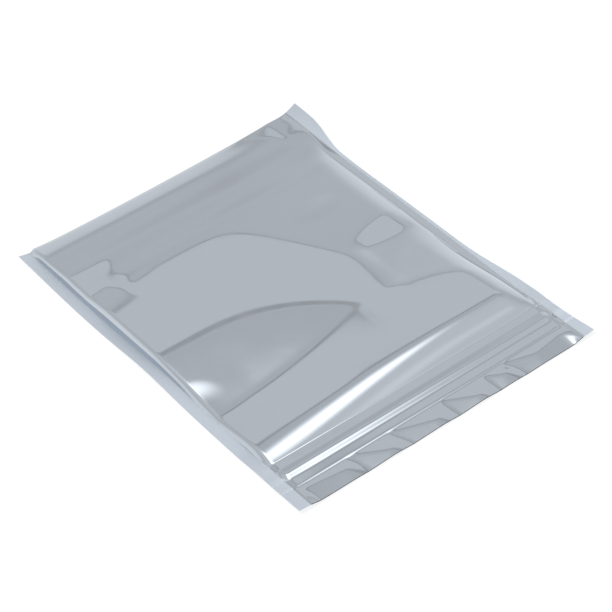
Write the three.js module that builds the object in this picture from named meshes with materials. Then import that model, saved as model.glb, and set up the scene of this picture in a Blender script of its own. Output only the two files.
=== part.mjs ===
// A resealable static shielding bag, empty, zipped shut and lying on a table.
//
// One web of metallised film is folded in half. The fold is the closed end, both sides
// are heat sealed, and the two loose edges past the zip are the lips of the mouth. Inside the
// mouth a ribbed strip is welded to the front wall and a channelled strip to the back wall. The rib
// is pressed into the channel, and the side seals crush both strips flat at their ends.
//
// Millimetres. X runs across the bag, Y from the mouth to the folded end, and Z up from the table.
// The origin is on the table under the middle of the bag.

import * as THREE from 'three';

// Film
const FILM = 0.08; // thickness of one wall
const POUCH_WIDTH = 152; // between the side seals
const SIDE_SEAL = 6; // width of each side seal
const POUCH_LENGTH = 194.5; // from the folded end to the zip tape
const LIP_LENGTH = 13.5; // from the zip tape to the mouth's edge
const FOLD_RADIUS = 0.7; // inside radius of the bend at the closed end

// Zip strips
const TAPE_WIDTH = 17; // each strip's flange, edge to edge
const TAPE_THICKNESS = 0.15; // the flange
const RIDGE_HEIGHT = 1.7; // both strips together, over the pressed rib
const TAPE_EDGE_HEIGHT = 0.7; // both strips together, at the flange's edges
const RIDGE_WIDTH = 8.6; // where the flanges bend round the rib
const STEM_WIDTH = 0.5; // the rib's stem
const HEAD_WIDTH = 1.1; // the rib's arrow head
const HEAD_HEIGHT = 0.45;
const RIB_CLEARANCE = 0.2; // between the head and the channel, all round
const JAW_THICKNESS = 0.3; // each wall of the channel
const HOOK_REACH = 0.35; // how far each hook leans in over the head
const HOOK_HEIGHT = 0.22;
const WELD_GAP = 0.03; // between a strip and the film that it is welded to
const CRUSHED_SHARE = 0.3; // height left of the zip inside the side seals
const CRUSH_LENGTH = 3; // over which the zip flattens, before the seal

// The way the bag lies
const PUFF_HEIGHT = 5.8; // the air between the walls, along the crest
const CREST_SLOPE = 0.05; // how the front wall falls past the crest
const LEFT_EDGE = 3; // over which the front wall rises from the left seal
const RIGHT_EDGE = 13; // and from the right seal
const EDGE_BULGE = 2.4; // power of that rise: 1 is a straight slope
const ZIP_ROLL = 19; // over which it rolls down to the zip tape
const FAR_ROLL = 13; // and to the folded end
const SEAL_RISE = 0.6; // the side seals above the table, at mid length
const RIGHT_DRAW = 4.3; // how far the puffed pouch draws the right seal in
const ZIP_DRAW = 1.6; // and the right end of the zip
const FOLD_DRAW = 1.3; // and the middle of the folded end
const LIP_GAP = 0.4; // between the lips, at the mouth's edge
const LIP_RISE = 0.4; // how the flat parts of the lips rise towards the mouth
const LIP_DROOP = { left: 0.062, right: 0.085 }; // slope of the lips where they droop
const CURL_LENGTH = 75; // over which a corner curls up off the table
const CURL_POWER = 9; // how close to the side the curl stays
const CORNER_CURL = { mouthLeft: 0.9, mouthRight: 0.9, foldLeft: 2.5, foldRight: 5 };

// A long low wave that lifts the left seal off the table
const LEFT_WAVE = { height: 2, fromFold: 107.5, spread: 24, reach: 42 };

// The crest is where the front wall's middle starts to fall. Each line has a point, as its distances in
// from the left seal and down from the fold, and the direction in which the wall falls past it. The
// share is how much steeper it falls than past the fold side.
const CREST = {
  foldSide: { fromLeft: 72, fromFold: 52, falls: [-0.03, 1], share: 1 },
  rightSlant: { fromLeft: 96, fromFold: 81, falls: [0.89, 0.455], share: 1.25 },
  rightSide: { fromLeft: 108, fromFold: 119, falls: [0.986, -0.167], share: 1.65 },
  zipSide: { fromLeft: 121, fromFold: 142, falls: [0.22, 0.975], share: 1.65 },
  zipCorner: { fromLeft: 142, fromFold: 153, falls: [0.75, 0.66], share: 1.65 },
};

// The fin is a slope across the front wall, wide at the left seal and narrowing to a tip. Its upper edge
// curves down to the tip and its lower edge rises to it. Past the lower edge the wall rises
// again towards the zip, and only the kept share of the fall is left there.
const FIN = {
  slope: 0.07,
  fromFoldTop: 100.5,
  fromFoldBottom: 154,
  fromFoldTip: 139,
  length: 94,
  topCurve: 3.4,
  bottomCurve: 1.4,
  kept: 3,
  keptLength: 121,
  foot: 175.5,
};

// The trough is a crease that runs in from the right seal, steep on the side of the fold
const TROUGH = { slope: 0.085, fromFold: 104, length: 37, above: 9.5, below: 7, foot: 46 };
const TROUGH_OPENS = { above: 1.7, below: 2.2 }; // how fast it reaches those widths along its length

// A round dent beside the left seal
const DIMPLE = { depth: 0.6, fromLeft: 8, fromFold: 47.5, halfWidth: 14.5, halfLength: 15.5 };

// Flat tongues of the lips that reach out from the zip tape: where each starts and ends, from the left
// seal, and how far it reaches at its end
const TONGUES = [
  [-6, 29.5],
  [32, 49.5],
  [53.5, 79],
  [79.5, 103],
  [102, 114],
  [115.5, 160],
];
const TONGUE = { root: 1, reach: 6.2, growth: 0.75, end: 6 };

// Radii that round the creases over, in the heights of the front wall and the lips
const CREASE = { crest: 2, crestCorner: 3, crestValley: 8, fin: 2, trough: 1.5, foot: 5, lip: 1 };

// Facets
const SEAL_STEPS = 1;
const EDGE_STEPS = 4;
const MIDDLE_STEPS = 18;
const LIP_STEPS = 3;
const FLANGE_STEPS = 1; // on each side of the ridge
const RIDGE_STEPS = 8;
const ROLL_STEPS = 5;
const BODY_STEPS = 16;
const FOLD_STEPS = 4;
const BEND_STEPS = 4; // round the fold

// Places that follow from the sizes
const WIDTH = POUCH_WIDTH + 2 * SIDE_SEAL;
const LENGTH = POUCH_LENGTH + TAPE_WIDTH + LIP_LENGTH;
const MOUTH_Y = -LENGTH / 2;
const FOLD_Y = LENGTH / 2;
const TAPE_MOUTH_Y = MOUTH_Y + LIP_LENGTH;
const ZIP_Y = TAPE_MOUTH_Y + TAPE_WIDTH / 2;
const TAPE_BODY_Y = TAPE_MOUTH_Y + TAPE_WIDTH;
const POUCH_EDGE_X = POUCH_WIDTH / 2;
const BEND_Y = FOLD_Y - FOLD_RADIUS - FILM; // where the flat walls meet the bend
const ZIP_PLANE = FILM + WELD_GAP + RIDGE_HEIGHT / 2; // the rib's mid height above the film's underside
const PEEL = 1.2; // over which the film leaves the tape's edge

const { clamp, smoothstep, lerp } = THREE.MathUtils;

/** Evenly spaced values from a to b, without a itself. */
function steps(a, b, count) {
  return Array.from({ length: count }, (_, k) => lerp(a, b, (k + 1) / count));
}

/** 1 at t = 0, falling smoothly to 0 at t = 1. */
function fall(t) {
  return 1 - smoothstep(t, 0, 1);
}

/** 0 below t = 0 and t above it, with the corner rounded over about the radius. */
function ramp(t, radius) {
  const u = t / radius;
  return u > 30 ? t : radius * Math.log1p(Math.exp(u));
}

/** The larger of two values, with a rounded crease. */
function upper(a, b, radius) {
  return b + ramp(a - b, radius);
}

/** The smaller of two values, with a rounded crease. */
function lower(a, b, radius) {
  return b - ramp(b - a, radius);
}

/** How far the side seals are off the table between the corners. */
function sideLift(x, y) {
  const along = (y - FOLD_Y + LEFT_WAVE.fromFold) / LEFT_WAVE.spread;
  const out = clamp((LEFT_WAVE.reach - WIDTH / 2 - x) / LEFT_WAVE.reach, 0, 1);
  const wave = LEFT_WAVE.height * Math.exp(-along * along) * out ** 2;
  return wave + SEAL_RISE * Math.abs((2 * x) / WIDTH) ** 8 * fall((2 * Math.abs(y)) / LENGTH);
}

/** How far the bag's underside is off the table. */
function lie(x, y) {
  const across = Math.abs((2 * x) / WIDTH);
  const right = smoothstep(0.5 + x / WIDTH, 0, 1);
  const nearFold = fall((FOLD_Y - y) / CURL_LENGTH);
  const nearMouth = fall((y - MOUTH_Y) / CURL_LENGTH);
  const foldCurl = lerp(CORNER_CURL.foldLeft, CORNER_CURL.foldRight, right);
  const mouthCurl = lerp(CORNER_CURL.mouthLeft, CORNER_CURL.mouthRight, right);
  const curl = across ** CURL_POWER * (foldCurl * nearFold ** 2 + mouthCurl * nearMouth ** 2);
  return curl + sideLift(x, y);
}

/** Where a point of the flat bag comes to lie once the air inside draws its edges in. */
function drawnIn(x, y) {
  const across = (2 * x) / WIDTH;
  const pouch = smoothstep(FOLD_Y - y, 14.5, 44.5) * smoothstep(y - TAPE_BODY_Y, 4, 59);
  const zip = Math.exp(-(((y - ZIP_Y - 2) / 20) ** 2));
  const right = x > 0 ? RIGHT_DRAW * pouch + ZIP_DRAW * zip : 0;
  const fold = FOLD_DRAW * (1 - across ** 2) * (1 - smoothstep(FOLD_Y - y, 2.5, 52.5));
  return [x - right * across ** 2, y - fold];
}

/** Distance in from the inner edge of the nearer side seal; 0 inside a seal. */
function fromSeal(x) {
  return Math.max(0, POUCH_EDGE_X - Math.abs(x));
}

/** Distance past a line of the crest, on the side to which the wall falls. */
function past(line, x, y) {
  const [towardsX, towardsY] = line.falls;
  const [dx, dy] = [x + POUCH_EDGE_X - line.fromLeft, y - FOLD_Y + line.fromFold];
  return (line.share * (dx * towardsX + dy * towardsY)) / Math.hypot(towardsX, towardsY);
}

/** How far the front wall has fallen past the crest. */
function crestDrop(x, y) {
  const { crest, crestCorner, crestValley } = CREASE;
  const right = upper(past(CREST.rightSlant, x, y), past(CREST.rightSide, x, y), crestCorner);
  const mouth = upper(past(CREST.zipSide, x, y), past(CREST.zipCorner, x, y), crestCorner);
  const beyond = upper(past(CREST.foldSide, x, y), lower(right, mouth, crestCorner), crestValley);
  return CREST_SLOPE * ramp(beyond, crest);
}

/** How far the front wall has fallen down the fin. */
function finDrop(x, y) {
  const along = clamp((x + POUCH_EDGE_X) / FIN.length, 0, 1);
  const top = FOLD_Y - lerp(FIN.fromFoldTop, FIN.fromFoldTip, along ** FIN.topCurve);
  const bottom = FOLD_Y - lerp(FIN.fromFoldBottom, FIN.fromFoldTip, along ** FIN.bottomCurve);
  const foot = FOLD_Y - FIN.foot;
  const down = FIN.slope * (ramp(top - y, CREASE.fin) - ramp(bottom - y, CREASE.fin));
  const regained = FIN.slope * (top - bottom) - FIN.kept * fall((x + POUCH_EDGE_X) / FIN.keptLength);
  return down - regained * clamp((bottom - y) / (bottom - foot), 0, 1);
}

/** How far the front wall has fallen into the trough. */
function troughDrop(x, y) {
  const inwards = clamp((x - POUCH_EDGE_X + TROUGH.length) / TROUGH.length, 0, 1);
  const centre = FOLD_Y - TROUGH.fromFold;
  const top = centre + TROUGH.above * Math.min(inwards * TROUGH_OPENS.above, 1);
  const floor = centre - TROUGH.below * Math.min(inwards * TROUGH_OPENS.below, 1);
  const foot = centre - TROUGH.foot;
  const share = (top - floor) / (floor - foot);
  const down = ramp(top - y, CREASE.trough) - (1 + share) * ramp(floor - y, CREASE.trough);
  return TROUGH.slope * (down + share * ramp(foot - y, CREASE.foot));
}

/** How far the front wall has fallen into the dimple. */
function dimpleDrop(x, y) {
  const dx = (x + POUCH_EDGE_X - DIMPLE.fromLeft) / DIMPLE.halfWidth;
  const dy = (y - FOLD_Y + DIMPLE.fromFold) / DIMPLE.halfLength;
  return DIMPLE.depth * Math.max(0, 1 - dx * dx - dy * dy);
}

/** The front wall's height over the back wall, away from the seals and ends. */
function relief(x, y) {
  return PUFF_HEIGHT - crestDrop(x, y) - finDrop(x, y) - troughDrop(x, y) - dimpleDrop(x, y);
}

/** The air between the walls, from the zip tape to the fold. */
function air(x, y) {
  const edge = x < 0 ? LEFT_EDGE : RIGHT_EDGE;
  const sides = 1 - (1 - clamp(fromSeal(x) / edge, 0, 1)) ** EDGE_BULGE;
  const toFold = clamp((BEND_Y - y) / FAR_ROLL, 0, 1);
  const toTape = clamp((y - TAPE_BODY_Y) / ZIP_ROLL, 0, 1);
  const ends = Math.sqrt(toFold * (2 - toFold)) * (1 - (1 - toTape) ** 2);
  const tapeGap = TAPE_EDGE_HEIGHT * smoothstep(fromSeal(x) / CRUSH_LENGTH, 0, 1);
  const foldGap = 2 * FOLD_RADIUS * smoothstep(fromSeal(x) / edge, 0, 1);
  const rest = lerp(tapeGap, foldGap, clamp((y - TAPE_BODY_Y) / (BEND_Y - TAPE_BODY_Y), 0, 1));
  const [seenX] = drawnIn(x, y);
  return rest + Math.max(FILM, relief(seenX, y) - sideLift(x, y) - rest) * sides * ends;
}

/** Half the zip's height at a distance from its centre line: the ridge over the rib, then the flange. */
function zipHalfHeight(fromCentre) {
  const ridge = fall(Math.abs(fromCentre) / (RIDGE_WIDTH / 2));
  return lerp(TAPE_EDGE_HEIGHT, RIDGE_HEIGHT, ridge) / 2;
}

/** The share of its height that the zip keeps at x: all of it between the seals, then crushed. */
function crush(x) {
  return lerp(CRUSHED_SHARE, 1, smoothstep(fromSeal(x) / CRUSH_LENGTH, 0, 1));
}

/** Whether the walls are apart, and not welded to each other. */
function wallsApart(x, y) {
  return fromSeal(x) > 0 || (y > TAPE_MOUTH_Y - PEEL / 2 && y < TAPE_BODY_Y + PEEL / 2);
}

/** How far the lips droop past the flat tongues that reach out from the zip tape. */
function lipDroop(x, y) {
  const reach = TONGUES.map(([from, to]) => {
    const [start, end] = [from - POUCH_EDGE_X, to - POUCH_EDGE_X];
    const grown = smoothstep(x, start, lerp(start, end, TONGUE.growth));
    return TONGUE.reach * grown * fall((x - end) / TONGUE.end + 1);
  });
  const tongue = TONGUE.root + Math.max(...reach);
  const slope = lerp(LIP_DROOP.left, LIP_DROOP.right, smoothstep(0.5 + x / WIDTH, 0, 1));
  const held = smoothstep(fromSeal(x), 0, TONGUE.end);
  return slope * ramp(TAPE_MOUTH_Y - y - tongue, CREASE.lip) * held;
}

/** Heights of the film's four faces at a point, from the back wall's outside to the front wall's. */
function filmHeights(x, y) {
  const table = lie(x, y);
  const edgeHalf = (TAPE_EDGE_HEIGHT / 2 + WELD_GAP) * crush(x);
  let low;
  let high;
  if (y < TAPE_MOUTH_Y) {
    const settle = smoothstep(TAPE_MOUTH_Y - y, 0, PEEL);
    const middle = ZIP_PLANE + (LIP_RISE * (TAPE_MOUTH_Y - y)) / LIP_LENGTH - lipDroop(x, y);
    const half = lerp(edgeHalf, LIP_GAP / 2, settle);
    [low, high] = [middle - half, middle + half];
  } else if (y <= TAPE_BODY_Y) {
    const half = (zipHalfHeight(y - ZIP_Y) + WELD_GAP) * crush(x);
    [low, high] = [ZIP_PLANE - half, ZIP_PLANE + half];
  } else {
    low = lerp(ZIP_PLANE - edgeHalf, FILM, smoothstep((y - TAPE_BODY_Y) / ZIP_ROLL, 0, 1));
    high = low + air(x, y);
  }
  if (!wallsApart(x, y)) {
    low = (low + high) / 2;
    high = low;
  }
  return [low - FILM, low, high, high + FILM].map((height) => table + height);
}

/** Points round one bend of the film, from the front wall to the back wall at the folded end. */
function bend(top, bottom, count) {
  const middle = (top + bottom) / 2;
  const radius = (top - bottom) / 2;
  return steps(0, Math.PI, count)
    .slice(0, -1)
    .map((angle) => [BEND_Y + radius * Math.sin(angle), middle + radius * Math.cos(angle)]);
}

/** Collects shared vertices and triangles for one closed body. */
class Body {
  constructor() {
    this.points = [];
    this.triangles = [];
  }

  point(x, y, z) {
    this.points.push(...drawnIn(x, y), z);
    return this.points.length / 3 - 1;
  }

  triangle(a, b, c) {
    if (a !== b && b !== c && c !== a) this.triangles.push(a, b, c);
  }

  quad(a, b, c, d) {
    this.triangle(a, b, c);
    this.triangle(a, c, d);
  }

  geometry() {
    const geometry = new THREE.BufferGeometry();
    geometry.setAttribute('position', new THREE.Float32BufferAttribute(this.points, 3));
    geometry.setIndex(this.triangles);
    geometry.computeVertexNormals();
    return geometry;
  }
}

// Columns across the bag, and rows from the mouth to the bend
const half = [
  ...steps(WIDTH / 2, POUCH_EDGE_X, SEAL_STEPS),
  POUCH_EDGE_X - CRUSH_LENGTH / 2,
  POUCH_EDGE_X - CRUSH_LENGTH,
  ...steps(POUCH_EDGE_X - CRUSH_LENGTH, POUCH_EDGE_X - RIGHT_EDGE, EDGE_STEPS - 1),
];
const leftColumns = [-WIDTH / 2, ...half.map((x) => -x)];
const rightColumns = [...leftColumns].reverse().map((x) => -x);
const middleColumns = steps(-POUCH_EDGE_X + RIGHT_EDGE, POUCH_EDGE_X - RIGHT_EDGE, MIDDLE_STEPS);
const columns = [...leftColumns, ...middleColumns.slice(0, -1), ...rightColumns];

const flangeHalf = TAPE_WIDTH / 2;
const ridgeHalf = RIDGE_WIDTH / 2;
const tapeRows = [
  -flangeHalf,
  ...steps(-flangeHalf, -ridgeHalf, FLANGE_STEPS),
  ...steps(-ridgeHalf, ridgeHalf, RIDGE_STEPS),
  ...steps(ridgeHalf, flangeHalf, FLANGE_STEPS),
];
const rows = [
  MOUTH_Y,
  ...steps(MOUTH_Y, TAPE_MOUTH_Y - PEEL, LIP_STEPS),
  ...tapeRows.map((fromCentre) => ZIP_Y + fromCentre),
  TAPE_BODY_Y + PEEL,
  ...steps(TAPE_BODY_Y + PEEL, TAPE_BODY_Y + ZIP_ROLL, ROLL_STEPS),
  ...steps(TAPE_BODY_Y + ZIP_ROLL, FOLD_Y - FAR_ROLL, BODY_STEPS),
  ...steps(FOLD_Y - FAR_ROLL, BEND_Y, FOLD_STEPS),
];

/** The folded and side-sealed web of film, open along the mouth and where the zip runs out at each side. */
function filmGeometry() {
  const body = new Body();
  const last = rows.length - 1;
  const lastColumn = columns.length - 1;
  const nodes = columns.map((x) =>
    rows.map((y) => {
      const heights = filmHeights(x, y);
      const apart = wallsApart(x, y);
      const [bottom, inBottom, inTop, top] = heights;
      const lower = body.point(x, y, inBottom);
      const upper = apart ? body.point(x, y, inTop) : lower;
      return {
        apart,
        heights,
        bottom: body.point(x, y, bottom),
        lower,
        upper,
        top: body.point(x, y, top),
      };
    }),
  );

  // Walls
  for (let i = 0; i < lastColumn; i += 1) {
    for (let j = 0; j < last; j += 1) {
      const [a, b, c, d] = [nodes[i][j], nodes[i + 1][j], nodes[i + 1][j + 1], nodes[i][j + 1]];
      body.quad(a.top, b.top, c.top, d.top);
      body.quad(a.bottom, d.bottom, c.bottom, b.bottom);
      [
        [a, b, c],
        [a, c, d],
      ].forEach(([p, q, r]) => {
        if (!p.apart && !q.apart && !r.apart) return;
        body.triangle(p.upper, r.upper, q.upper);
        body.triangle(p.lower, q.lower, r.lower);
      });
    }
  }

  // The bend at the folded end
  const bends = columns.map((x, i) => {
    const [bottom, inBottom, inTop, top] = nodes[i][last].heights;
    const make = (from, to) => bend(from, to, BEND_STEPS).map(([y, z]) => body.point(x, y, z));
    const node = nodes[i][last];
    return {
      outer: [node.top, ...make(top, bottom), node.bottom],
      inner: node.apart ? [node.upper, ...make(inTop, inBottom), node.lower] : null,
    };
  });
  for (let i = 0; i < lastColumn; i += 1) {
    for (let k = 0; k < BEND_STEPS; k += 1) {
      const [a, b] = [bends[i], bends[i + 1]];
      body.quad(a.outer[k], b.outer[k], b.outer[k + 1], a.outer[k + 1]);
      const innerA = a.inner ?? Array(BEND_STEPS + 1).fill(nodes[i][last].lower);
      const innerB = b.inner ?? Array(BEND_STEPS + 1).fill(nodes[i + 1][last].lower);
      if (a.inner || b.inner) body.quad(innerA[k], innerA[k + 1], innerB[k + 1], innerB[k]);
    }
  }

  // Cut edges: the mouth, then the two sides
  for (let i = 0; i < lastColumn; i += 1) {
    const [a, b] = [nodes[i][0], nodes[i + 1][0]];
    body.quad(a.top, a.upper, b.upper, b.top);
    body.quad(a.lower, a.bottom, b.bottom, b.lower);
  }
  [0, lastColumn].forEach((i) => {
    const quad = i === 0 ? (a, b, c, d) => body.quad(a, b, c, d) : (a, b, c, d) => body.quad(d, c, b, a);
    for (let j = 0; j < last; j += 1) {
      const [a, b] = [nodes[i][j], nodes[i][j + 1]];
      quad(a.top, b.top, b.upper, a.upper);
      quad(a.lower, b.lower, b.bottom, a.bottom);
    }
    for (let k = 0; k < BEND_STEPS; k += 1) {
      const { outer } = bends[i];
      quad(outer[k], outer[k + 1], nodes[i][last].lower, nodes[i][last].lower);
    }
  });
  return body.geometry();
}

/**
 * A zip strip, its section crushed inside the seals. The section's outline is pairs of distance from the
 * centre line and height over the zip's mid plane, anticlockwise.
 */
function stripGeometry(outline) {
  const body = new Body();
  const sections = columns.map((x) => {
    const keep = crush(x);
    return outline.map(([fromCentre, height]) =>
      body.point(x, ZIP_Y + fromCentre, lie(x, ZIP_Y + fromCentre) + ZIP_PLANE + height * keep),
    );
  });
  const count = outline.length;
  for (let i = 0; i + 1 < sections.length; i += 1) {
    for (let k = 0; k < count; k += 1) {
      const next = (k + 1) % count;
      const corners = [sections[i][k], sections[i][next], sections[i + 1][next], sections[i + 1][k]];
      // The same diagonal as the film's, from the mouth side at i to the fold side at i + 1
      if (outline[next][0] < outline[k][0]) corners.push(corners.shift());
      body.quad(...corners);
    }
  }
  const contour = outline.map(([y, z]) => new THREE.Vector2(y, z));
  THREE.ShapeUtils.triangulateShape(contour, []).forEach(([a, b, c]) => {
    const end = sections[sections.length - 1];
    body.triangle(end[a], end[b], end[c]);
    body.triangle(sections[0][a], sections[0][c], sections[0][b]);
  });
  return body.geometry();
}

/** The flange's face that lies on the film, from one edge to the other. */
function weldFace() {
  return tapeRows.map((fromCentre) => [fromCentre, zipHalfHeight(fromCentre)]);
}

/** The flange's inner face, from one edge to the other, without the stretch that the profile stands on. */
function innerFace(clear) {
  return weldFace()
    .map(([fromCentre, height]) => [fromCentre, height - TAPE_THICKNESS])
    .filter(([fromCentre]) => Math.abs(fromCentre) > clear);
}

const PROFILE_BASE = RIDGE_HEIGHT / 2 - TAPE_THICKNESS;
const STEM = STEM_WIDTH / 2;
const HEAD = HEAD_WIDTH / 2;
const JAW_IN = HEAD + RIB_CLEARANCE;
const JAW_OUT = JAW_IN + JAW_THICKNESS;
const HEAD_TIP = -PROFILE_BASE + RIB_CLEARANCE;
const HEAD_TOP = HEAD_TIP + HEAD_HEIGHT;
const BARB_TOP = HEAD_TOP - HEAD_HEIGHT * 0.15; // the barbs' square edge, near the stem
const BARB_FOOT = HEAD_TOP - HEAD_HEIGHT * 0.45; // where the barbs start to slope to the tip
const TIP = STEM * 0.6; // half the width of the arrow's blunt tip
const HOOK_UNDER = HEAD_TOP + RIB_CLEARANCE * 0.6;
const HOOK_TOP = HOOK_UNDER + HOOK_HEIGHT;
const HOOK_MID = HOOK_UNDER + HOOK_HEIGHT / 2;

/** The ribbed strip: a flange, and an arrow-headed rib that hangs from its middle. */
function ribOutline() {
  const inner = innerFace(JAW_OUT);
  const left = inner.filter(([y]) => y < 0);
  const right = inner.filter(([y]) => y > 0);
  return [
    ...left,
    [-STEM, PROFILE_BASE],
    [-STEM, HEAD_TOP],
    [-HEAD, BARB_TOP],
    [-HEAD, BARB_FOOT],
    [-TIP, HEAD_TIP],
    [TIP, HEAD_TIP],
    [HEAD, BARB_FOOT],
    [HEAD, BARB_TOP],
    [STEM, HEAD_TOP],
    [STEM, PROFILE_BASE],
    ...right,
    ...weldFace().reverse(),
  ];
}

/** The channelled strip: a flange, and two hooked jaws that close over the rib's head. */
function channelOutline() {
  const inner = innerFace(JAW_OUT).map(([y, z]) => [y, -z]);
  const left = inner.filter(([y]) => y < 0).reverse();
  const right = inner.filter(([y]) => y > 0).reverse();
  const jaw = (side) => [
    [side * JAW_OUT, -PROFILE_BASE],
    [side * JAW_OUT, HOOK_MID],
    [side * (JAW_OUT - JAW_THICKNESS / 2), HOOK_TOP],
    [side * (JAW_IN - HOOK_REACH / 2), HOOK_TOP],
    [side * (JAW_IN - HOOK_REACH), HOOK_MID],
    [side * (JAW_IN - HOOK_REACH), HOOK_UNDER],
    [side * JAW_IN, HOOK_UNDER],
    [side * JAW_IN, -PROFILE_BASE],
  ];
  return [
    ...weldFace().map(([y, z]) => [y, -z]),
    ...right,
    ...jaw(1),
    ...jaw(-1).reverse(),
    ...left,
  ];
}

// Finishes
const metallisedFilm = new THREE.MeshStandardMaterial({ color: 0xa9b1ba, roughness: 0.16, metalness: 0.75 });
const clearStrip = new THREE.MeshStandardMaterial({ color: 0xd9dde0, roughness: 0.35, metalness: 0 });

function named(name, geometry, material) {
  const mesh = new THREE.Mesh(geometry, material);
  mesh.name = name;
  return mesh;
}

const bag = new THREE.Group();
bag.add(named('film_pouch', filmGeometry(), metallisedFilm));
bag.add(named('zip_rib_strip', stripGeometry(ribOutline()), clearStrip));
bag.add(named('zip_channel_strip', stripGeometry(channelOutline()), clearStrip));

export default bag;
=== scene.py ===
"""A resealable static shielding bag of metallised film, empty and zipped shut, lying on a pale table.

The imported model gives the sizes. The film is modelled anew, as one folded web with its real thickness
and the dents, creases and waves that it lies in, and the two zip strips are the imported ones.
"""

from __future__ import annotations

import logging
import math
from dataclasses import dataclass, field
from enum import Enum

import bpy
import numpy as np
from mathutils import Matrix, Vector

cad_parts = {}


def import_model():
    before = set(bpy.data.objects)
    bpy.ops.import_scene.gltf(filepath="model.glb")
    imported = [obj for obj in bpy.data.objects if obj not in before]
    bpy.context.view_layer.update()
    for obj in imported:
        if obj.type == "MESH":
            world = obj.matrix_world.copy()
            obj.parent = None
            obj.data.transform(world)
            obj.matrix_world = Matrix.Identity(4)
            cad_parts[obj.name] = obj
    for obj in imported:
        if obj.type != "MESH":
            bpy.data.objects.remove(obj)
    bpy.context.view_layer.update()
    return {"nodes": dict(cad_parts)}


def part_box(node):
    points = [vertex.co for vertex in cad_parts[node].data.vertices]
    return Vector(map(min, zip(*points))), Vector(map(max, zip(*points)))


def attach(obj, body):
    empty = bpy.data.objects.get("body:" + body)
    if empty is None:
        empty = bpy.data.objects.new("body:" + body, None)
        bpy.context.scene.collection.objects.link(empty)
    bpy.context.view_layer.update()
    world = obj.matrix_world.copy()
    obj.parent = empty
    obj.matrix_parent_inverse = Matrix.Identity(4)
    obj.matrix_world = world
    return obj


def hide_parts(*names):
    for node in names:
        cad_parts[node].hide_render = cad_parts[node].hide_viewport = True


LOG = logging.getLogger("static_shielding_bag")

MM = 0.001


def linear(hex_colour: str) -> tuple[float, float, float, float]:
    """Turns an sRGB hex colour into Blender's linear colour.

    Args:
        hex_colour: six hex digits, such as "A9B1BA".

    Returns:
        Red, green, blue and an alpha of 1.
    """
    channels = (int(hex_colour[k : k + 2], 16) / 255 for k in (0, 2, 4))
    red, green, blue = (c / 12.92 if c <= 0.04045 else ((c + 0.055) / 1.055) ** 2.4 for c in channels)
    return red, green, blue, 1.0


def add_node(tree: bpy.types.NodeTree, kind: str, links: dict | None = None, **settings) -> bpy.types.Node:
    """Adds a node with its settings, its inputs' values and the links into it.

    Args:
        tree: the node tree.
        kind: Blender's name for the node's type.
        links: input name or number to a value, or to the output socket that feeds it.
        settings: the node's own properties.

    Returns:
        The new node.
    """
    node = tree.nodes.new(kind)
    for name, value in settings.items():
        setattr(node, name, value)
    for key, value in (links or {}).items():
        if isinstance(value, bpy.types.NodeSocket):
            tree.links.new(value, node.inputs[key])
        else:
            node.inputs[key].default_value = value
    return node


def smooth(t: np.ndarray) -> np.ndarray:
    """Rises smoothly from 0 at t = 0 to 1 at t = 1."""
    t = np.clip(t, 0, 1)
    return t * t * (3 - 2 * t)


def ramp(t: np.ndarray, radius: float) -> np.ndarray:
    """0 below t = 0 and t above it, with the corner rounded over about the radius."""
    return radius * np.logaddexp(0, t / radius)


def upper(a: np.ndarray, b: np.ndarray, radius: float) -> np.ndarray:
    """The larger of two fields, with a rounded crease."""
    return b + ramp(a - b, radius)


def lower(a: np.ndarray, b: np.ndarray, radius: float) -> np.ndarray:
    """The smaller of two fields, with a rounded crease."""
    return b - ramp(b - a, radius)


@dataclass(frozen=True)
class Line:
    """A straight line on the bag, in millimetres, with the side that it faces."""

    x: float
    y: float
    towards_x: float
    towards_y: float

    def beyond(self, x: np.ndarray, y: np.ndarray) -> np.ndarray:
        """Distance past the line on the side that it faces."""
        size = math.hypot(self.towards_x, self.towards_y)
        return ((x - self.x) * self.towards_x + (y - self.y) * self.towards_y) / size


def side_to_side(ends: tuple[float, float], x: np.ndarray, width: float) -> np.ndarray:
    """Runs smoothly from the left side's value to the right side's."""
    return ends[0] + (ends[1] - ends[0]) * smooth(0.5 + x / width)


@dataclass(frozen=True)
class Crest:
    """Where the raised middle of the front wall starts to fall towards the fold and the right seal."""

    fold_side: Line = Line(-3.6, 60.5, -0.03, 1.0)
    left_corner: Line = Line(-66.0, 51.8, -0.30, 0.956)
    right_slant: Line = Line(19.7, 31.2, 0.89, 0.455)
    right_side: Line = Line(31.6, -7.0, 0.986, -0.167)
    zip_side: Line = Line(45.0, -29.4, 0.22, 0.975)
    zip_corner: Line = Line(66.2, -40.4, 0.75, 0.66)
    slope: float = 0.05
    slant_share: float = 1.25
    side_share: float = 1.65
    radius: float = 1.1
    left_from: float = -40.0
    left_fade: float = 40.0
    left_off: float = 60.0
    fold_rounding: float = 2.0
    side_rounding: float = 3.0
    zip_rounding: float = 4.0
    corner_rounding: float = 8.0
    outwards: float = 2.5

    def beyond(self, x: np.ndarray, y: np.ndarray) -> np.ndarray:
        """Distance past the crest."""
        left = self.left_corner.beyond(x, y) - self.left_off * smooth((x - self.left_from) / self.left_fade)
        fold = upper(self.fold_side.beyond(x, y), left, self.fold_rounding)
        slant = self.slant_share * self.right_slant.beyond(x, y)
        right = upper(slant, self.side_share * self.right_side.beyond(x, y), self.side_rounding)
        mouth = upper(self.zip_side.beyond(x, y), self.zip_corner.beyond(x, y), self.side_rounding)
        side = lower(right, self.side_share * mouth, self.zip_rounding)
        return upper(fold, side, self.corner_rounding) - self.outwards

    def drop(self, x: np.ndarray, y: np.ndarray) -> np.ndarray:
        """How far the wall has fallen."""
        return self.slope * ramp(self.beyond(x, y), self.radius)


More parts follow.
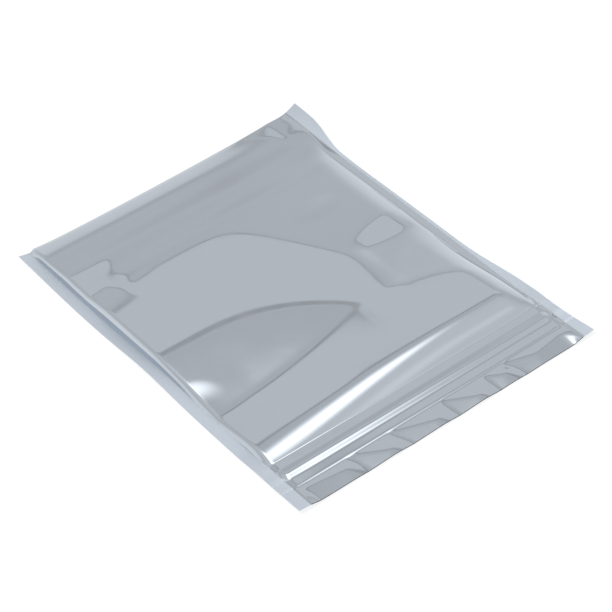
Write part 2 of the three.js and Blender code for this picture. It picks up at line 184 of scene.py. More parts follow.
@dataclass(frozen=True)
class Fin:
    """The slope across the front wall, wide at the left seal and running out past the middle.

    It starts with a shallower rim. Past its lower edge the wall rises again, up to the foot.
    """

    seal_x: float = -76.0
    reach: float = 15.5
    past_reach: float = 1.4
    upper_start: float = 12.0
    upper_fall: float = 31.5
    upper_power: float = 2.6
    upper_from: float = -53.0
    lower_start: float = -40.3
    lower_rise: float = 15.5
    lower_power: float = 1.4
    lower_from: float = -68.0
    tip_radius: float = 1.0
    rim: float = 6.3
    rim_slope: float = 0.054
    slope: float = 0.080
    left_share: float = 0.05
    left_width: float = 75.0
    turn: float = 0.61
    radius: float = 0.9
    inner_gap: float = 1.2
    outer_gap: float = 1.5
    kept: float = 3.0
    kept_reach: float = 121.0
    back_gap: float = 3.0
    back_radius: float = 1.5
    foot: float = -63.0
    tip_foot: float = -46.0
    foot_from: float = -20.0
    foot_width: float = 37.0

    def along(self, x: np.ndarray, start: float) -> np.ndarray:
        """The share of the way from the start to the slope's tip."""
        return np.clip((x - start) / (self.reach - start), 0, self.past_reach)

    def edges(self, x: np.ndarray) -> tuple[np.ndarray, np.ndarray]:
        """The y of the slope's upper and lower edges at x."""
        top = self.upper_start - self.upper_fall * self.along(x, self.upper_from) ** self.upper_power
        bottom = self.lower_start + self.lower_rise * self.along(x, self.lower_from) ** self.lower_power
        return bottom + ramp(top - bottom, self.tip_radius), bottom

    def eased(self, x: np.ndarray) -> np.ndarray:
        """How much the slope gives way where its upper edge turns down, so that it stays as dark."""
        steep = self.upper_fall * self.upper_power / (self.reach - self.upper_from)
        return 1 + self.turn * steep * self.along(x, self.upper_from) ** (self.upper_power - 1)

    def drop(self, x: np.ndarray, y: np.ndarray) -> np.ndarray:
        """How far the wall has fallen."""
        top, bottom = self.edges(x)
        leftwards = 1 - smooth((x - self.seal_x) / self.left_width)
        slope = self.slope * (1 + self.left_share * leftwards) / self.eased(x)
        rim_slope = self.rim_slope / self.eased(x)
        end = bottom + self.inner_gap
        inside = np.clip(top - self.rim, end, None)
        over = rim_slope * (ramp(top - y, self.radius) - ramp(bottom - self.outer_gap - y, self.radius))
        deep = ramp(inside - y, self.radius) - ramp(end - y, self.radius)
        fallen = rim_slope * (top - bottom + self.outer_gap) + (slope - rim_slope) * (inside - end)
        kept = self.kept * (1 - smooth((x - self.seal_x) / self.kept_reach))
        start = bottom - self.back_gap
        foot = self.foot + (self.tip_foot - self.foot) * smooth((x - self.foot_from) / self.foot_width)
        back = (ramp(start - y, self.back_radius) - ramp(foot - y, self.back_radius)) / (start - foot)
        return over + (slope - rim_slope) * deep - (fallen - kept) * back


@dataclass(frozen=True)
class Trough:
    """A crease that runs in from the right seal, steep on its fold side and shallow on its zip side."""

    tip_x: float = 34.5
    tip_y: float = 8.5
    length: float = 40.0
    upper_rise: float = 9.5
    upper_rate: float = 2.6
    lower_fall: float = 7.0
    lower_rate: float = 3.2
    foot_y: float = -38.0
    slope: float = 0.085
    radius: float = 0.8
    foot_radius: float = 5.0
    opening: float = 4.0

    def drop(self, x: np.ndarray, y: np.ndarray) -> np.ndarray:
        """How far the wall has fallen into the crease."""
        inwards = np.clip((x - self.tip_x) / self.length, 0, 1)
        top = self.tip_y + self.upper_rise * np.tanh(inwards * self.upper_rate)
        floor = self.tip_y - self.lower_fall * np.tanh(inwards * self.lower_rate)
        share = (top - floor) / (floor - self.foot_y)
        down = ramp(top - y, self.radius) - ramp(floor - y, self.radius)
        up = share * (ramp(floor - y, self.radius) - ramp(self.foot_y - y, self.foot_radius))
        return self.slope * (down - up) * smooth(inwards * self.opening)


@dataclass(frozen=True)
class Dimple:
    """A shallow round dent, or a soft rise where its depth is below 0."""

    x: float
    y: float
    half_width: float
    half_length: float
    depth: float
    power: float

    def drop(self, x: np.ndarray, y: np.ndarray) -> np.ndarray:
        """How far the wall has fallen."""
        away = ((x - self.x) / self.half_width) ** 2 + ((y - self.y) / self.half_length) ** 2
        return self.depth * np.clip(1 - away, 0, None) ** self.power


@dataclass(frozen=True)
class Pleat:
    """A short valley that runs in from the left seal and ends in a blunt crease."""

    end_x: float = -51.5
    top_y: float = 82.0
    foot_y: float = 45.0
    foot_x: float = -71.5
    foot_rise: float = 0.22
    down: float = 0.056
    up: float = 0.042
    lean: float = 0.085
    radius: float = 0.06

    def drop(self, x: np.ndarray, y: np.ndarray) -> np.ndarray:
        """How far the wall has fallen: the shallowest of the three planes that close the valley."""
        foot = self.foot_y + self.foot_rise * (x - self.foot_x)
        valley = lower(self.down * (self.top_y - y), self.up * (y - foot), self.radius)
        return ramp(lower(valley, self.lean * (self.end_x - x), self.radius), self.radius)


@dataclass(frozen=True)
class Tongue:
    """A flat patch of the lip that reaches out from the zip tape: a triangle with round corners."""

    start: float
    end: float
    tip_x: float
    tip_past: float
    corner: float = 2.0

    def away(self, x: np.ndarray, past: np.ndarray) -> np.ndarray:
        """Distance outside the patch.

        Args:
            x: across the bag.
            past: out from the zip tape's edge towards the mouth.

        Returns:
            Millimetres, below 0 inside.
        """
        corners = ((self.start, 0.0), (self.end, 0.0), (self.tip_x, self.tip_past))
        nearest = np.full_like(x, np.inf)
        inside = np.ones(x.shape, bool)
        for (from_x, from_past), (to_x, to_past) in zip(corners, corners[1:] + corners[:1]):
            run, rise = to_x - from_x, to_past - from_past
            share = np.clip(((x - from_x) * run + (past - from_past) * rise) / (run**2 + rise**2), 0, 1)
            aside = np.hypot(x - from_x - share * run, past - from_past - share * rise)
            nearest = np.minimum(nearest, aside)
            inside &= run * (past - from_past) - rise * (x - from_x) >= 0
        return np.where(inside, -nearest, nearest) - self.corner


@dataclass(frozen=True)
class Lips:
    """The loose edges of both walls past the zip, which droop between flat tongues."""

    gap: float = 0.4
    rise: float = 0.4
    settle_share: float = 0.12
    droop: tuple[float, float] = (0.079, 0.106)
    root: float = 1.2
    bend: float = 0.35
    seal_fade: float = 6.0
    tongues: tuple[Tongue, ...] = (
        Tongue(-84.0, -50.0, -53.0, 4.6),
        Tongue(-43.0, -28.0, -31.0, 7.8),
        Tongue(-22.5, 2.0, -5.0, 7.2),
        Tongue(5.0, 26.0, 18.0, 7.8),
        Tongue(28.0, 36.0, 35.0, 4.8),
        Tongue(41.0, 90.0, 54.0, 4.4),
        Tongue(50.0, 90.0, 84.0, 5.0),
    )

    def wave(self, x: np.ndarray, past: np.ndarray, from_seal: np.ndarray, width: float) -> np.ndarray:
        """How far the lips stand up, below 0 where they droop.

        Args:
            x: across the bag.
            past: out from the zip tape's edge towards the mouth.
            from_seal: distance in from the nearer side seal.
            width: the bag's width.
        """
        away = past - self.root
        for tongue in self.tongues:
            away = np.minimum(away, tongue.away(x, past))
        droop = side_to_side(self.droop, x, width)
        return -droop * ramp(away, self.bend) * smooth(from_seal / self.seal_fade)


@dataclass(frozen=True)
class EdgeDraw:
    """How far the air inside draws the right seal, the zip's end and the closed end in."""

    right: float = 4.3
    at_zip: float = 1.6
    at_fold: float = 1.3
    far_y: float = 98.0
    far_fade: float = 30.0
    near_y: float = -78.0
    near_fade: float = 55.0
    zip_offset: float = 2.0
    zip_spread: float = 20.0
    fold_from: float = 60.0
    fold_reach: float = 50.0

    def moved(
        self, x: np.ndarray, y: np.ndarray, width: float, zip_y: float
    ) -> tuple[np.ndarray, np.ndarray]:
        """Where a point of the flat bag comes to lie.

        Args:
            x: across the flat bag.
            y: from the mouth to the fold.
            width: the flat bag's width.
            zip_y: the zip's centre line.

        Returns:
            The point's new x and y.
        """
        across = 2 * x / width
        pouch = smooth((self.far_y - y) / self.far_fade) * smooth((y - self.near_y) / self.near_fade)
        zipped = np.exp(-(((y - zip_y - self.zip_offset) / self.zip_spread) ** 2))
        right = np.where(x > 0, self.right * pouch + self.at_zip * zipped, 0)
        fold = self.at_fold * (1 - across**2) * smooth((y - self.fold_from) / self.fold_reach)
        return x - right * across**2, y - fold


@dataclass(frozen=True)
class Curl:
    """How the bag comes off the table at its corners and along its side seals."""

    length: float = 75.0
    power: float = 9.0
    fold: tuple[float, float] = (2.5, 5.0)
    mouth: tuple[float, float] = (0.9, 0.9)
    seal_rise: float = 0.6
    seal_power: float = 8.0
    left_lift: float = 2.0
    left_y: float = 5.0
    left_spread: float = 24.0
    left_from: float = 40.0
    left_reach: float = 42.0

    def corners(self, x: np.ndarray, y: np.ndarray, width: float, length: float) -> np.ndarray:
        """How far the corners lift the film off the table."""
        near_fold = 1 - smooth((length / 2 - y) / self.length)
        near_mouth = 1 - smooth((y + length / 2) / self.length)
        fold = side_to_side(self.fold, x, width) * near_fold**2
        mouth = side_to_side(self.mouth, x, width) * near_mouth**2
        return np.abs(2 * x / width) ** self.power * (fold + mouth)

    def sides(self, x: np.ndarray, y: np.ndarray, width: float, length: float) -> np.ndarray:
        """How far the side seals are off the table between the corners."""
        wave = self.left_lift * np.exp(-(((y - self.left_y) / self.left_spread) ** 2))
        outwards = np.clip((-x - self.left_from) / self.left_reach, 0, None)
        rise = self.seal_rise * np.abs(2 * x / width) ** self.seal_power
        return wave * outwards**2 + rise * (1 - smooth(2 * np.abs(y) / length))


@dataclass
class BagForm:
    """The shape that the bag lies in, in millimetres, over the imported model's own sizes."""

    width: float
    length: float
    zip_y: float
    tape_width: float
    film: float = 0.08
    side_seal: float = 6.0
    fold_radius: float = 0.7
    weld_gap: float = 0.03
    ridge_height: float = 1.7
    ridge_width: float = 8.6
    tape_edge_height: float = 0.7
    crushed_share: float = 0.3
    crush_length: float = 3.0
    puff: float = 5.8
    least_height: float = 0.2
    least_air: float = 0.1
    sight: tuple[float, float] = (0.59, 0.98)
    left_edge: float = 3.0
    right_edge: float = 13.0
    edge_bulge: float = 2.4
    zip_roll: float = 17.0
    far_roll: float = 13.0
    sag: float = 0.0004
    sag_from: float = 80.0
    ripple: float = 0.05
    ripple_length: float = 17.5
    ripple_from: float = 64.0
    ripple_start: float = 60.0
    ripple_fade: float = 10.0
    crest: Crest = Crest()
    fin: Fin = Fin()
    trough: Trough = Trough()
    pleat: Pleat = Pleat()
    dents: tuple[Dimple, ...] = (
        Dimple(44.0, 44.0, 14.0, 8.0, -0.17, 1.4),
        Dimple(-78.0, -26.0, 18.0, 15.0, 0.32, 2.0),
    )
    lips: Lips = Lips()
    draw: EdgeDraw = EdgeDraw()
    curl: Curl = Curl()

    @property
    def mouth_y(self) -> float:
        """The cut edge of the mouth."""
        return -self.length / 2

    @property
    def bend_y(self) -> float:
        """Where the flat walls meet the bend at the closed end."""
        return self.length / 2 - self.fold_radius - self.film

    @property
    def tape_body_y(self) -> float:
        """The zip tape's edge on the side of the pouch."""
        return self.zip_y + self.tape_width / 2

    @property
    def tape_mouth_y(self) -> float:
        """The zip tape's edge on the side of the mouth."""
        return self.zip_y - self.tape_width / 2

    @property
    def zip_plane(self) -> float:
        """The pressed rib's mid height above the film's underside."""
        return self.film + self.weld_gap + self.ridge_height / 2

    def from_seal(self, x: np.ndarray) -> np.ndarray:
        """Distance in from the nearer side seal."""
        return np.clip(self.width / 2 - self.side_seal - np.abs(x), 0, None)

    def drawn(self, x: np.ndarray, y: np.ndarray) -> tuple[np.ndarray, np.ndarray]:
        """Where a point of the flat bag comes to lie once the air inside draws its edges in."""
        return self.draw.moved(x, y, self.width, self.zip_y)

    def side_lift(self, x: np.ndarray, y: np.ndarray) -> np.ndarray:
        """How far the side seals are off the table between the corners."""
        return self.curl.sides(x, y, self.width, self.length)

    def lie(self, x: np.ndarray, y: np.ndarray) -> np.ndarray:
        """How far the bag's underside is off the table."""
        return self.curl.corners(x, y, self.width, self.length) + self.side_lift(x, y)

    def crush(self, x: np.ndarray) -> np.ndarray:
        """The share of its height that the zip keeps: all between the seals, then crushed."""
        return self.crushed_share + (1 - self.crushed_share) * smooth(self.from_seal(x) / self.crush_length)

    def zip_half_height(self, from_centre: np.ndarray) -> np.ndarray:
        """Half the closed zip's height at a distance from its centre line."""
        ridge = 1 - smooth(np.abs(from_centre) / (self.ridge_width / 2))
        return (self.tape_edge_height + (self.ridge_height - self.tape_edge_height) * ridge) / 2

    def relief(self, x: np.ndarray, y: np.ndarray) -> np.ndarray:
        """The front wall's height over the back wall, away from the seals and ends.

        The creases' places are given as they look from the camera, on the table behind them.
        """
        first = self.creased(x, y)
        lean_x, lean_y = self.sight
        return self.creased(x + lean_x * first, y + lean_y * first)

    def creased(self, x: np.ndarray, y: np.ndarray) -> np.ndarray:
        """The front wall's height where the creases lie at their given places."""
        height = np.full_like(x, self.puff)
        for dent in (self.crest, self.fin, self.trough, self.pleat, *self.dents):
            height = height - dent.drop(x, y)
        sag = self.sag * np.clip(y - self.sag_from, 0, None) ** 2
        ripple = self.ripple * np.sin((y - self.ripple_from) * 2 * math.pi / self.ripple_length)
        ripple = ripple * smooth((y - self.ripple_start) / self.ripple_fade)
        return np.clip(height - sag + ripple, self.least_height, None)

    def air(self, x: np.ndarray, y: np.ndarray) -> np.ndarray:
        """The air between the walls, from the zip tape to the fold."""
        edge = np.where(x < 0, self.left_edge, self.right_edge)
        sides = 1 - (1 - np.clip(self.from_seal(x) / edge, 0, 1)) ** self.edge_bulge
        to_fold = np.clip((self.bend_y - y) / self.far_roll, 0, 1)
        to_tape = np.clip((y - self.tape_body_y) / self.zip_roll, 0, 1)
        ends = np.sqrt(to_fold * (2 - to_fold)) * (1 - (1 - to_tape) ** 2)
        along = np.clip((y - self.tape_body_y) / (self.bend_y - self.tape_body_y), 0, 1)
        tape_gap = self.tape_edge_height * smooth(self.from_seal(x) / self.crush_length)
        fold_gap = 2 * self.fold_radius * smooth(self.from_seal(x) / edge)
        rest = tape_gap + (fold_gap - tape_gap) * along
        seen_x, _ = self.drawn(x, y)
        free = self.relief(seen_x, y) - self.side_lift(x, y) - rest
        return rest + np.clip(free, self.least_air, None) * sides * ends

    def tape_edge_half(self, x: np.ndarray) -> np.ndarray:
        """Half the gap between the walls at the zip tape's edges."""
        return (self.tape_edge_height / 2 + self.weld_gap) * self.crush(x)

    def tape_walls(self, x: np.ndarray, y: np.ndarray) -> tuple[np.ndarray, np.ndarray]:
        """The two walls' heights over the underside on the zip tape."""
        half = (self.zip_half_height(y - self.zip_y) + self.weld_gap) * self.crush(x)
        return self.zip_plane - half, self.zip_plane + half

    def lip_walls(self, x: np.ndarray, y: np.ndarray) -> tuple[np.ndarray, np.ndarray]:
        """The two walls' heights over the underside on the lips, which touch in the seals."""
        past = np.clip(self.tape_mouth_y - y, 0, None)
        out = np.clip(past / (self.tape_mouth_y - self.mouth_y), 0, 1)
        edge_half = self.tape_edge_half(x)
        half = edge_half + (self.lips.gap / 2 - edge_half) * smooth(out / self.lips.settle_share)
        half = np.where(self.from_seal(x) <= 0, 0, half)
        wave = self.lips.wave(x, past, self.from_seal(x), self.width)
        middle = self.zip_plane + self.lips.rise * out
        return middle - half + wave, middle + half + wave

    def pouch_walls(self, x: np.ndarray, y: np.ndarray) -> tuple[np.ndarray, np.ndarray]:
        """The two walls' heights over the underside, from the zip tape to the bend."""
        inwards = np.clip((y - self.tape_body_y) / self.zip_roll, 0, 1)
        tape_floor = self.zip_plane - self.tape_edge_half(x)
        floor = tape_floor + (self.film - tape_floor) * smooth(inwards)
        return floor, floor + self.air(x, y)

    def walls(self, x: np.ndarray, y: np.ndarray) -> tuple[np.ndarray, np.ndarray]:
        """The inner faces of the back and front walls.

        Args:
            x: across the bag.
            y: from the mouth to the fold.

        Returns:
            Heights above the table of the back wall's and the front wall's inner faces.
        """
        table = self.lie(x, y)
        places = [y < self.tape_mouth_y, y > self.tape_body_y]
        lips, pouch, tape = self.lip_walls(x, y), self.pouch_walls(x, y), self.tape_walls(x, y)
        low, high = (np.select(places, [lips[k], pouch[k]], tape[k]) for k in (0, 1))
        return table + low, table + high


@dataclass
class FilmPouch:
    """The folded web of metallised film, its side seals and its lips.

    Its rows and columns are as close together as a piece of under 200,000 triangles allows. Its rows lie
    closer together on the front wall than on the back wall, and closer still at the lips and the zip.
    """

    form: BagForm
    finish: Finish
    name: str = "film_pouch_web"
    node: str = "film_pouch"
    middle_columns: int = 120
    edge_columns: int = 13
    seal_columns: int = 6
    edge: float = 8.0
    past_tape: float = 2.0
    front_rows: tuple[float, float] = (0.5, 1.05)
    back_rows: tuple[float, float] = (1.5, 5.0)
    fold_rows: int = 8
    smooth_angle: float = 40.0

    def x_places(self) -> np.ndarray:
        """The web's columns, closer together at the seals."""
        form = self.form
        pouch = form.width / 2 - form.side_seal
        seal = np.linspace(-form.width / 2, -pouch, self.seal_columns, endpoint=False)
        edge = np.linspace(-pouch, -pouch + self.edge, self.edge_columns, endpoint=False)
        left = np.concatenate([seal, edge])
        middle = np.linspace(-pouch + self.edge, pouch - self.edge, self.middle_columns)
        return np.concatenate([left, middle, -left[::-1]])

    def y_places(self, tape_step: float, body_step: float) -> np.ndarray:
        """One wall's rows from the mouth to the bend, closer together at the lips and the zip."""
        form = self.form
        start = form.tape_body_y + self.past_tape
        near = np.arange(form.mouth_y, start, tape_step)
        count = int(round((form.bend_y - start) / body_step))
        return np.concatenate([near, np.linspace(start, form.bend_y, count + 1)])

    def web(self) -> np.ndarray:
        """The middle surface of the film, row by row from the front lip over the fold to the back lip."""
        form = self.form
        half = form.film / 2
        xs = self.x_places()
        front_ys = self.y_places(*self.front_rows)
        back_ys = self.y_places(*self.back_rows)[::-1]
        x, y = np.meshgrid(xs, front_ys)
        _, high = form.walls(x, y)
        front = np.stack([x, y, high + half], -1)
        x, y = np.meshgrid(xs, back_ys)
        low, _ = form.walls(x, y)
        back = np.stack([x, y, low - half], -1)
        top = front[-1, :, 2]
        bottom = back[0, :, 2]
        bend = []
        for k in range(1, self.fold_rows):
            angle = math.pi * k / self.fold_rows
            radius = (top - bottom) / 2
            middle = (top + bottom) / 2
            row_y = form.bend_y + radius * math.sin(angle)
            bend.append(np.stack([xs, row_y, middle + radius * math.cos(angle)], -1))
        points = np.concatenate([front, np.array(bend), back])
        points[..., 0], points[..., 1] = form.drawn(points[..., 0], points[..., 1])
        return points * MM

    def build(self) -> bpy.types.Object:
        """Models the web from a grid, moves it into its lie and gives it its thickness."""
        points = self.web()
        rows, columns, _ = points.shape
        bpy.ops.object.select_all(action="DESELECT")
        bpy.ops.mesh.primitive_grid_add(x_subdivisions=columns - 1, y_subdivisions=rows - 1, size=1)
        piece = bpy.context.active_object
        piece.name = self.name
        piece.data.name = self.name
        mesh = piece.data
        flat = np.zeros(len(mesh.vertices) * 3)
        mesh.vertices.foreach_get("co", flat)
        flat = flat.reshape(-1, 3)
        column = np.rint((flat[:, 0] + 0.5) * (columns - 1)).astype(int)
        row = np.rint((flat[:, 1] + 0.5) * (rows - 1)).astype(int)
        mesh.vertices.foreach_set("co", points[row, column].ravel())
        mesh.update()
        wall = piece.modifiers.new("film thickness", "SOLIDIFY")
        wall.thickness = self.form.film * MM
        wall.offset = 0
        wall.use_even_offset = False
        bpy.ops.object.modifier_apply(modifier=wall.name)
        bpy.ops.object.shade_smooth_by_angle(angle=math.radians(self.smooth_angle))
        piece.data.materials.clear()
        piece.data.materials.append(self.finish.material())
        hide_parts(self.node)
        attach(piece, "root")
        return piece


@dataclass(frozen=True)
class Finish:
    """A finish with its material's name and colour."""

    name: str
    colour: str

    def start(self) -> tuple[bpy.types.Material, bpy.types.NodeTree, bpy.types.Node]:
        """A new material with only a principled shader and an output."""
        material = bpy.data.materials.new(self.name)
        material.use_nodes = True
        tree = material.node_tree
        tree.nodes.clear()
        shader = add_node(tree, "ShaderNodeBsdfPrincipled", {"Base Color": linear(self.colour)})
        add_node(tree, "ShaderNodeOutputMaterial", {"Surface": shader.outputs["BSDF"]})
        return material, tree, shader


@dataclass(frozen=True)
class MetallisedFilm(Finish):
    """Polyester film with a vacuum-deposited aluminium layer, laminated to polyethylene.

    The aluminium mirrors the room like a dim, slightly blue-grey mirror, and the polyester over it has
    a faint haze in blotches about a fingertip wide. The heat seals are pressed with a grain of about a
    millimetre, so they look paler and more matt. Sizes are in millimetres.
    """

    seal_colour: str = "D0D9E3"
    roughness: float = 0.07
    haze_spread: float = 0.02
    haze_size: float = 11.1
    haze_span: tuple[float, float] = (0.3, 0.7)
    seal_roughness: float = 0.40
    pouch_half: float = 76.0
    seal_blur: float = 0.4
    grain_size: float = 1.11
    grain_depth: float = 0.06
    grain_strength: float = 0.25

    def material(self) -> bpy.types.Material:
        """The finish as nodes, over the piece's own coordinates."""
        material, tree, shader = self.start()
        place = add_node(tree, "ShaderNodeTexCoord").outputs["Object"]
        axes = add_node(tree, "ShaderNodeSeparateXYZ", {0: place})
        away = add_node(tree, "ShaderNodeMath", {0: axes.outputs["X"]}, operation="ABSOLUTE")
        seal = add_node(
            tree,
            "ShaderNodeMapRange",
            {
                0: away.outputs[0],
                1: (self.pouch_half - self.seal_blur) * MM,
                2: (self.pouch_half + self.seal_blur) * MM,
                3: 0.0,
                4: 1.0,
            },
        ).outputs[0]
        colour = add_node(
            tree,
            "ShaderNodeMix",
            {0: seal, 6: linear(self.colour), 7: linear(self.seal_colour)},
            data_type="RGBA",
        )
        tree.links.new(colour.outputs[2], shader.inputs["Base Color"])
        haze_scale = 1 / (self.haze_size * MM)
        haze = add_node(tree, "ShaderNodeTexNoise", {"Vector": place, "Scale": haze_scale, "Detail": 3.0})
        rough = add_node(
            tree,
            "ShaderNodeMapRange",
            {
                0: haze.outputs["Fac"],
                1: self.haze_span[0],
                2: self.haze_span[1],
                3: self.roughness - self.haze_spread,
                4: self.roughness + self.haze_spread,
            },
        ).outputs[0]
        rough = add_node(tree, "ShaderNodeMix", {0: seal, 2: rough, 3: self.seal_roughness})
        tree.links.new(rough.outputs[0], shader.inputs["Roughness"])
        shader.inputs["Metallic"].default_value = 1.0
        grain_scale = 1 / (self.grain_size * MM)
        grain = add_node(tree, "ShaderNodeTexNoise", {"Vector": place, "Scale": grain_scale, "Detail": 2.0})
        depth = add_node(tree, "ShaderNodeMath", {0: grain.outputs["Fac"], 1: seal}, operation="MULTIPLY")
        bump = add_node(
            tree,
            "ShaderNodeBump",
            {
                "Height": depth.outputs[0],
                "Strength": self.grain_strength,
                "Distance": self.grain_depth * MM,
            },
        )
        tree.links.new(bump.outputs[0], shader.inputs["Normal"])
        return material


@dataclass(frozen=True)
class ZipPolyethylene(Finish):
    """Extruded low-density polyethylene, which is clear and slightly milky with a soft shine."""

    cloud_size: float = 16.7
    roughness: tuple[float, float] = (0.25, 0.4)
    clear_share: float = 0.35
    ior: float = 1.51

    def material(self) -> bpy.types.Material:
        """The finish as nodes."""
        material, tree, shader = self.start()
        place = add_node(tree, "ShaderNodeTexCoord").outputs["Object"]
        cloud = add_node(tree, "ShaderNodeTexNoise", {"Vector": place, "Scale": 1 / (self.cloud_size * MM)})
        spans = {0: cloud.outputs["Fac"], 3: self.roughness[0], 4: self.roughness[1]}
        rough = add_node(tree, "ShaderNodeMapRange", spans)
        tree.links.new(rough.outputs[0], shader.inputs["Roughness"])
        shader.inputs["Transmission Weight"].default_value = self.clear_share
        shader.inputs["IOR"].default_value = self.ior
        return material


@dataclass
class ZipStrips:
    """The ribbed and the channelled strip, as packed, in clear polyethylene."""

    nodes: dict[str, bpy.types.Object]
    finish: Finish
    names: tuple[str, ...] = ("zip_rib_strip", "zip_channel_strip")

    def dress(self) -> list[bpy.types.Object]:
        """Gives both strips their finish."""
        material = self.finish.material()
        strips = [self.nodes[name] for name in self.names]
        for strip in strips:
            strip.data.materials.clear()
            strip.data.materials.append(material)
        return strips


class Ray(Enum):
    """The kinds of ray that see the white room."""

    CAMERA = "Is Camera Ray"
    GLOSSY = "Is Glossy Ray"


@dataclass(frozen=True)
class Panel:
    """A studio panel that the film mirrors, as spans of tangents round the mirror direction.

    Its glow fades out over a margin that is soft times its distance from the bag, which is in metres.
    """

    name: str
    right: tuple[float, float]
    up: tuple[float, float]
    glow: float
    soft: float = 0.0
    away: float = 2.5

    @property
    def size(self) -> tuple[float, float]:
        """Width and height in metres."""
        return (self.right[1] - self.right[0]) * self.away, (self.up[1] - self.up[0]) * self.away

    def material(self) -> bpy.types.Material:
        """An even glow that fades out towards the panel's edges."""
        material = bpy.data.materials.new(self.name)
        material.use_nodes = True
        tree = material.node_tree
        tree.nodes.clear()
        shine = add_node(tree, "ShaderNodeEmission", {"Color": (1, 1, 1, 1), "Strength": self.glow})
        place = add_node(tree, "ShaderNodeTexCoord").outputs["Object"]
        axes = add_node(tree, "ShaderNodeSeparateXYZ", {0: place})
        shares = []
        for axis, size in zip("XY", self.size):
            away = add_node(tree, "ShaderNodeMath", {0: axes.outputs[axis]}, operation="ABSOLUTE")
            fade = max(self.soft * self.away, MM)
            spans = {0: away.outputs[0], 1: size / 2 - fade, 2: size / 2, 3: 1.0, 4: 0.0}
            node = add_node(tree, "ShaderNodeMapRange", spans, interpolation_type="SMOOTHSTEP")
            shares.append(node.outputs[0])
        share = add_node(tree, "ShaderNodeMath", dict(enumerate(shares)), operation="MULTIPLY")
        clear = add_node(tree, "ShaderNodeBsdfTransparent")
        both = add_node(
            tree, "ShaderNodeMixShader", {0: share.outputs[0], 1: clear.outputs[0], 2: shine.outputs[0]}
        )
        add_node(tree, "ShaderNodeOutputMaterial", {"Surface": both.outputs[0]})
        return material


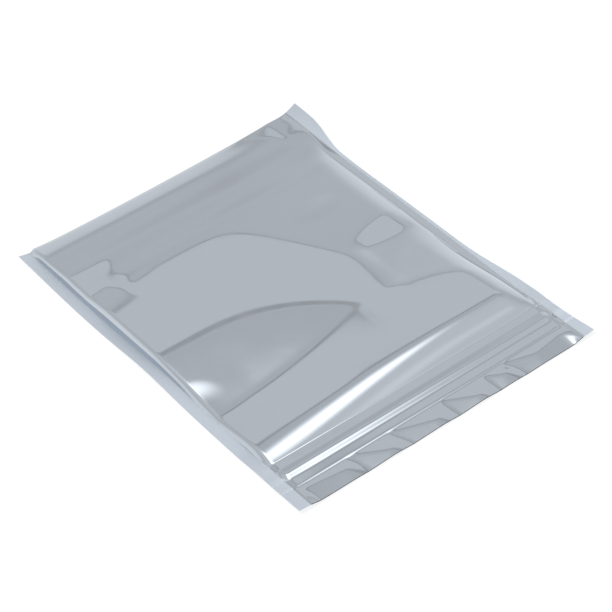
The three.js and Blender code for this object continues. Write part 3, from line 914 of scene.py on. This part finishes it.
@dataclass
class Studio:
    """The table, the room's light and the camera, in metres."""

    panels: tuple[Panel, ...] = (
        Panel("softbox", (-0.25, 0.28), (-0.06, 0.09), 0.80),
        Panel("softbox frame", (-0.265, 0.295), (-0.078, 0.128), 0.50, away=2.52),
        Panel("softbox edge", (-0.27, 0.30), (-0.084, 0.137), 0.78, away=2.54),
        Panel("ceiling lamp", (-0.14, 0.22), (0.20, 0.95), 2.4, soft=0.13, away=2.6),
        Panel("side lamp", (0.20, 0.75), (0.55, 1.15), 0.98, soft=0.24, away=2.62),
        Panel("grey wall", (-0.30, 0.38), (0.02, 0.28), 0.67, soft=0.12, away=2.7),
        Panel("dark doorway", (-0.26, 0.05), (-0.30, -0.14), 0.64, soft=0.07, away=2.7),
    )
    mirror: Vector = field(default_factory=lambda: Vector((0.391, 0.640, 0.662)).normalized())
    camera_place: Vector = field(default_factory=lambda: Vector((-468.24, -772.52, 789.70)) * MM)
    camera_right: Vector = field(default_factory=lambda: Vector((0.79694, -0.59498, -0.10435)))
    camera_down: Vector = field(default_factory=lambda: Vector((-0.46039, -0.48643, -0.74258)))
    focal_share: float = 2615.6 / 612
    sensor_width: float = 36.0
    clip: tuple[float, float] = (0.05, 20.0)
    lamp_place: Vector = field(default_factory=lambda: Vector((-0.6, 0.5, 1.6)))
    lamp_size: float = 1.2
    lamp_watts: float = 22.0
    table_size: float = 6.0
    table_colour: str = "F4F4F4"
    table_below: float = 0.02 * MM
    table_white_share: float = 0.8
    shades: tuple[tuple[float, float], ...] = (
        (0.00, 1.00),
        (0.20, 0.98),
        (0.38, 0.90),
        (0.50, 0.76),
        (0.58, 0.70),
        (0.68, 0.70),
        (0.76, 0.76),
        (0.86, 0.82),
        (1.00, 0.86),
    )

    def across(self) -> Vector:
        """Level, and to the right of the mirror direction."""
        return self.mirror.cross(Vector((0, 0, 1))).normalized()

    def over(self) -> Vector:
        """Upwards, square to the mirror direction."""
        return self.across().cross(self.mirror).normalized()

    def facing_bag(self, right: tuple[float, float], up: tuple[float, float], away: float) -> Matrix:
        """Where a panel stands that covers the given span of tangents, facing the bag."""
        towards = self.mirror + self.across() * (sum(right) / 2) + self.over() * (sum(up) / 2)
        turn = Matrix((self.across(), self.over(), self.mirror)).transposed()
        return Matrix.Translation(towards * away) @ turn.to_4x4()

    def stand(self, panel: Panel) -> None:
        """Sets a panel up where only the film's mirror image shows it."""
        bpy.ops.object.select_all(action="DESELECT")
        bpy.ops.mesh.primitive_plane_add(size=1)
        piece = bpy.context.active_object
        piece.name = panel.name
        piece.data.transform(Matrix.Diagonal((*panel.size, 1, 1)))
        piece.matrix_world = self.facing_bag(panel.right, panel.up, panel.away)
        piece.data.materials.append(panel.material())
        piece.visible_camera = False
        piece.visible_shadow = False
        piece.visible_diffuse = False

    def lamp(self) -> None:
        """A soft lamp over the table, which the film does not mirror."""
        data = bpy.data.lights.new("overhead lamp", "AREA")
        data.shape = "DISK"
        data.size = self.lamp_size
        data.energy = self.lamp_watts
        lamp = bpy.data.objects.new("overhead lamp", data)
        lamp.location = self.lamp_place
        lamp.rotation_euler = self.lamp_place.to_track_quat("Z", "Y").to_euler()
        lamp.visible_glossy = False
        bpy.context.scene.collection.objects.link(lamp)

    def room(self) -> None:
        """A white room to the camera, and one that is shaded by height to the film."""
        world = bpy.data.worlds.new("studio")
        bpy.context.scene.world = world
        world.use_nodes = True
        tree = world.node_tree
        tree.nodes.clear()
        place = add_node(tree, "ShaderNodeTexCoord").outputs["Generated"]
        height = add_node(tree, "ShaderNodeSeparateXYZ", {0: place}).outputs["Z"]
        shades = add_node(tree, "ShaderNodeValToRGB", {0: height})
        stops = shades.color_ramp.elements
        while len(stops) < len(self.shades):
            stops.new(0.5)
        for stop, (where, level) in zip(stops, self.shades):
            stop.position = where
            stop.color = (level, level, level, 1)
        seen = add_node(tree, "ShaderNodeLightPath")
        shaded = add_node(tree, "ShaderNodeBackground", {"Color": shades.outputs["Color"], "Strength": 1.0})
        white = add_node(tree, "ShaderNodeBackground", {"Color": (1, 1, 1, 1), "Strength": 1.0})
        view = add_node(
            tree,
            "ShaderNodeMixShader",
            {0: seen.outputs[Ray.CAMERA.value], 1: shaded.outputs[0], 2: white.outputs[0]},
        )
        add_node(tree, "ShaderNodeOutputWorld", {"Surface": view.outputs[0]})

    def table(self) -> None:
        """A white table that keeps the bag's soft shadow, and that the film mirrors as white."""
        bpy.ops.object.select_all(action="DESELECT")
        bpy.ops.mesh.primitive_plane_add(size=self.table_size)
        floor = bpy.context.active_object
        floor.name = "table"
        floor.data.transform(Matrix.Translation((0, 0, -self.table_below)))
        material = bpy.data.materials.new("white table")
        material.use_nodes = True
        tree = material.node_tree
        tree.nodes.clear()
        seen = add_node(tree, "ShaderNodeLightPath")
        matt = add_node(tree, "ShaderNodeBsdfDiffuse", {"Color": linear(self.table_colour)})
        shine = add_node(tree, "ShaderNodeEmission", {"Color": (1, 1, 1, 1), "Strength": 1.0})
        white = add_node(
            tree,
            "ShaderNodeMath",
            {0: seen.outputs[Ray.CAMERA.value], 1: seen.outputs[Ray.GLOSSY.value]},
            operation="MAXIMUM",
        )
        factors = {0: white.outputs[0], 1: self.table_white_share}
        share = add_node(tree, "ShaderNodeMath", factors, operation="MULTIPLY")
        both = add_node(
            tree, "ShaderNodeMixShader", {0: share.outputs[0], 1: matt.outputs[0], 2: shine.outputs[0]}
        )
        add_node(tree, "ShaderNodeOutputMaterial", {"Surface": both.outputs[0]})
        floor.data.materials.append(material)

    def camera(self) -> None:
        """The photograph's camera."""
        data = bpy.data.cameras.new("camera")
        data.sensor_fit = "HORIZONTAL"
        data.sensor_width = self.sensor_width
        data.lens = self.focal_share * data.sensor_width
        data.clip_start, data.clip_end = self.clip
        camera = bpy.data.objects.new("camera", data)
        back = self.camera_right.cross(-self.camera_down)
        turn = Matrix((self.camera_right, -self.camera_down, back)).transposed()
        camera.matrix_world = Matrix.Translation(self.camera_place) @ turn.to_4x4()
        bpy.context.scene.collection.objects.link(camera)
        bpy.context.scene.camera = camera

    def build(self) -> None:
        """Sets the whole studio up."""
        bpy.context.scene.view_settings.view_transform = "Standard"
        self.camera()
        self.room()
        self.table()
        for panel in self.panels:
            self.stand(panel)
        self.lamp()


def read_form() -> BagForm:
    """The bag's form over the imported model's sizes."""
    low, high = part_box("film_pouch")
    zip_low, zip_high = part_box("zip_rib_strip")
    return BagForm(
        width=(high[0] - low[0]) / MM,
        length=(high[1] - low[1]) / MM,
        zip_y=(zip_low[1] + zip_high[1]) / 2 / MM,
        tape_width=(zip_high[1] - zip_low[1]) / MM,
    )


def main() -> None:
    """Builds the bag and its studio."""
    logging.basicConfig(level=logging.INFO, format="%(message)s")
    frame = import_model()
    Studio().build()
    film = MetallisedFilm("metallised polyester laminate", "C2C9D1")
    form = read_form()
    pouch = FilmPouch(form, film).build()
    LOG.info("film pouch: %s, %d faces", pouch.name, len(pouch.data.polygons))
    strips = ZipStrips(frame["nodes"], ZipPolyethylene("clear polyethylene", "DDE1E4")).dress()
    LOG.info("zip strips: %s", [strip.name for strip in strips])


if __name__ == "__main__":
    main()
